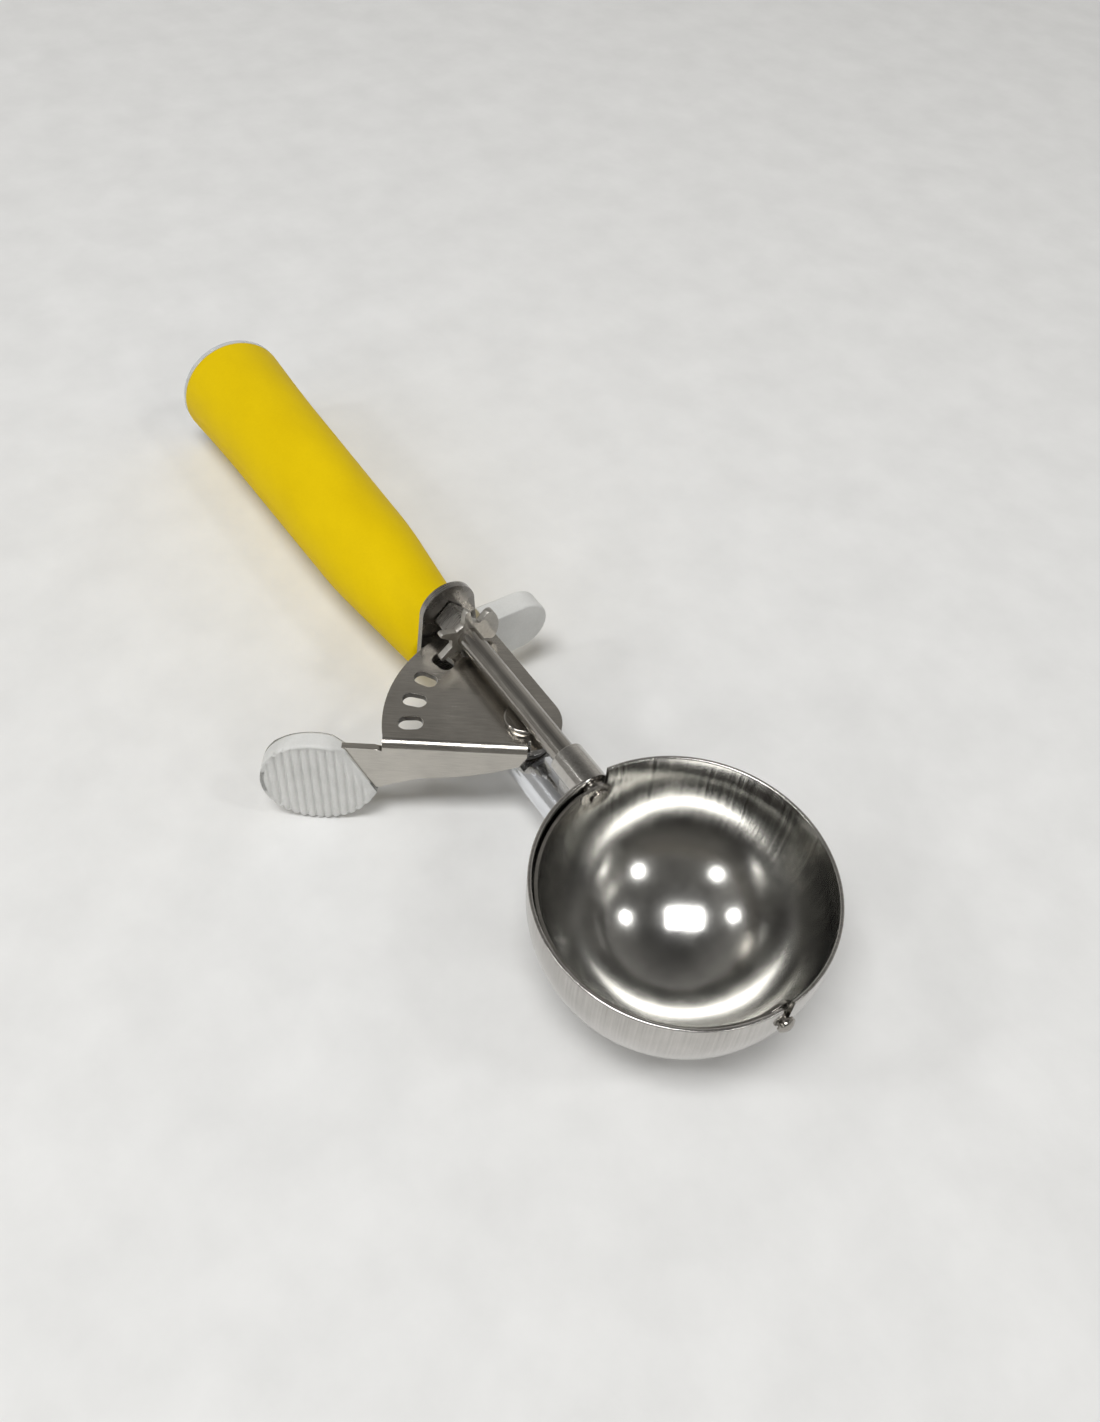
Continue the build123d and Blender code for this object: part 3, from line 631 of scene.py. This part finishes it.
def push(bm, faces, vec):
    """Extrude the end of the wire along a straight."""
    grown = bmesh.ops.extrude_face_region(bm, geom=faces)["geom"]
    bmesh.ops.translate(bm, verts=[item for item in grown if isinstance(item, bmesh.types.BMVert)], vec=vec)
    tip = [item for item in grown if isinstance(item, bmesh.types.BMFace)]
    bmesh.ops.delete(bm, geom=[face for face in faces if face.is_valid and face not in tip], context="FACES_ONLY")
    return tip


start_cap = bm.faces[:]
tip = push(bm, start_cap, Vector((0, pivot.y - leg_end.y, 0)))
wound = bmesh.ops.spin(
    bm, geom=tip + [edge for face in tip for edge in face.edges] + [vert for face in tip for vert in face.verts],
    cent=(pivot.x, pivot.y, 0), axis=(0, 0, 1), dvec=(0, 0, PITCH * coil_deg / 360 / steps),
    angle=math.radians(coil_deg), steps=steps, use_merge=False,
)
tip = [item for item in wound["geom_last"] if isinstance(item, bmesh.types.BMFace)]
last_angle = math.radians(180 + coil_deg)
heading = Vector((-math.sin(last_angle), math.cos(last_angle), 0))
push(bm, tip, heading * 6.5 * MM)
spring = add_piece(bm, "return_spring_wound", None, [spring_steel], "return_spring", crease_deg=60)
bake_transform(spring)

# %% [markdown]
# ## Sheet parts and rods
# These solids already have the right shape. A copy of each is welded and its edges are eased, because an edge that
# catches light is what makes sheet look like sheet. The cut walls of the lever's plate and slots get a darker steel:
# painted shade for walls that lie in shadow, and partly their darker cut finish.

# %% Ease the steel parts
eased = (
    ("thumb_lever", "lever", 0.16, lever_steel, "plate_steel"),
    ("frame_plate", "frame", 0.16, frame_steel, "plate_steel"),
    ("pinion", "scraper", 0.14, pinion_steel, "plate_steel"),
    ("pinion_collar", "scraper", 0.18, frame_steel, "plate_steel"),
    ("scraper_blade", "scraper", 0.12, blade_steel, "bowl_steel"),
    ("spindle", "scraper", 0.18, rod_steel, "rod_steel"),
    ("front_pin", "scraper", 0.1, rod_steel, "rod_steel"),
    ("front_bearing", "frame", 0.2, bearing_steel, "rod_steel"),
    ("shank", "frame", 0.2, shank_plate, "shank_steel"),
    ("pivot_rivet", "frame", 0.1, rod_steel, "rod_steel"),
    ("pivot_washer", "frame", 0.1, frame_steel, "plate_steel"),
    ("pivot_bush", "frame", 0.1, rod_steel, "rod_steel"),
)
EDGE_AREA = 2e-7
for node, body, ease, finish, slot in eased:
    piece = add_piece(eased_copy(node, ease * MM), node + "_eased", body, [finish, edge_burnish_and_shade], node)
    keep_flat(piece)
    # The plate's and slots' walls take the darker steel: painted shade where these walls lie in shadow, partly a
    # darker cut finish.
    if node == "thumb_lever":
        sheet_low = pivot.z - 1.45 * MM
        for face in piece.data.polygons:
            if face.area > EDGE_AREA and abs(face.normal.z) < 0.3 and face.center.z > sheet_low:
                face.material_index = 1

# %% [markdown]
# ## Floor and light
# A plain pale floor and soft light, as in a small studio: one large panel over the scoop, a few small lamps round
# it that put the bright spots into the bowl, and a dim room, paler on its far side, for the other reflections.

# %% Floor
bm = bmesh.new()
bmesh.ops.create_grid(bm, x_segments=2, y_segments=2, size=2.5)
mesh = bpy.data.meshes.new("floor")
bm.to_mesh(mesh)
bm.free()
floor = bpy.data.objects.new("floor", mesh)
bpy.context.scene.collection.objects.link(floor)
floor_pale, tree, shader = new_finish("floor_pale")
cloud = noise(tree, place(tree, (60, 60, 60)), detail=6)
tree.links.new(tint(tree, cloud, (0.74, 0.74, 0.73), (0.80, 0.80, 0.79)), shader.inputs["Base Color"])
shader.inputs["Roughness"].default_value = 0.8
raise_lines(tree, shader, noise(tree, place(tree, (420, 420, 420)), detail=3), 0.12, 0.0003)
mesh.materials.append(floor_pale)

# %% Lamps and room
def lamp(name, direction, distance, sides, power, roll_deg=0):
    """A flat lamp that looks at the bowl from a direction."""
    data = bpy.data.lights.new(name, "AREA")
    data.shape = "RECTANGLE"
    data.size, data.size_y = sides
    data.energy = power
    lamp_object = bpy.data.objects.new(name, data)
    way = Vector(direction).normalized()
    lamp_object.location = bowl_centre + way * distance
    roll = Quaternion((0, 0, 1), math.radians(roll_deg))
    lamp_object.rotation_euler = (way.to_track_quat("Z", "Y") @ roll).to_euler()
    bpy.context.scene.collection.objects.link(lamp_object)


lamp("panel", (0.08, -0.28, 0.95), 1.6, (0.80, 0.44), 16.4, 37)
for name, direction in (
    ("spot_front", (0.836, -0.016, 0.548)), ("spot_left", (0.221, -0.851, 0.476)),
    ("spot_right", (0.464, 0.413, 0.784)), ("spot_back", (-0.327, -0.708, 0.627)),
):
    lamp(name, direction, 1.6, (0.175, 0.175), 2.15)

world = bpy.data.worlds.new("room")
world.use_nodes = True
bpy.context.scene.world = world
tree = world.node_tree
where = tree.nodes.new("ShaderNodeTexCoord")
parts = tree.nodes.new("ShaderNodeSeparateXYZ")
tree.links.new(where.outputs["Generated"], parts.inputs[0])
sky = tree.nodes.new("ShaderNodeValToRGB")
for position, grey in ((0.0, 0.39), (0.45, 0.35), (0.76, 0.19), (1.0, 0.06)):
    between = 0 < position < 1
    stop = sky.color_ramp.elements.new(position) if between else sky.color_ramp.elements[-int(position)]
    stop.color = (grey, 0.975 * grey, 0.93 * grey, 1)
tree.links.new(parts.outputs["Z"], sky.inputs["Fac"])
tree.links.new(sky.outputs["Color"], tree.nodes["Background"].inputs["Color"])
far_side = tree.nodes.new("ShaderNodeVectorMath")
far_side.operation = "DOT_PRODUCT"
far_side.inputs[1].default_value = (-0.79, 0.61, 0)
tree.links.new(where.outputs["Generated"], far_side.inputs[0])
tree.links.new(
    spread(tree, far_side.outputs["Value"], 0.55, 1.45, -0.8, 0.8), tree.nodes["Background"].inputs["Strength"]
)
bpy.context.scene.view_settings.view_transform = "Standard"
print("light set")
